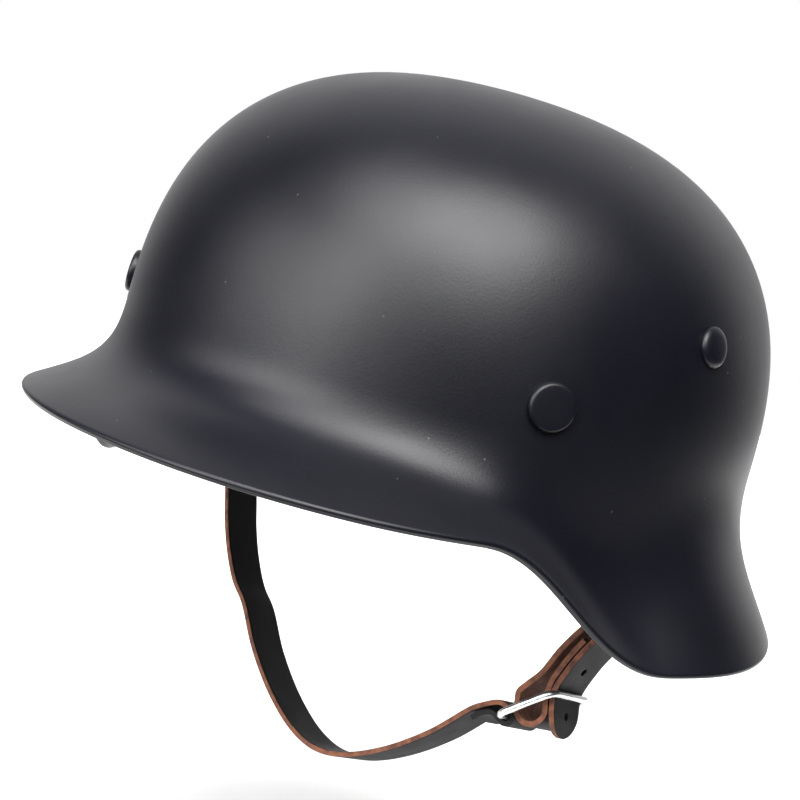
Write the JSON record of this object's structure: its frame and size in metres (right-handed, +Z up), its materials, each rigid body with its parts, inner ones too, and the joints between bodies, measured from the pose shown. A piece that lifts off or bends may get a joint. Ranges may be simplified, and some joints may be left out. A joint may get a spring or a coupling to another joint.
{
  "type": "steel combat helmet",
  "caption": "Pressed steel combat helmet with a rolled rim, a short visor, flared neck guard, low rivet heads and a leather chin strap fastened in a wire buckle.",
  "frame": {"origin": "the point where the crown of the head meets the inner face of the shell, on the helmet's middle plane; the helmet is held up by a head there", "axes": "+Z up through the crown, -Y out over the visor (the brow side), +X to the wearer's left"},
  "size_m": [0.2556, 0.2775, 0.2333],
  "materials": {
    "painted_steel": "satin black paint over pressed steel, slightly bluish",
    "strap_leather": "black dyed leather with undyed brown cut edges",
    "buckle_metal": "bright silvery wire",
    "bail_steel": "dull dark steel"
  },
  "bodies": {
    "root": {"shell": "painted_steel", "rivet_front_left": "painted_steel", "rivet_front_right": "painted_steel", "rivet_side_left": "painted_steel", "rivet_side_right": "painted_steel", "strap_bail_left": "bail_steel", "strap_bail_right": "bail_steel", "chin_strap_left": "strap_leather", "chin_strap_right": "strap_leather", "buckle": "buckle_metal"}
  },
  "joints": []
}
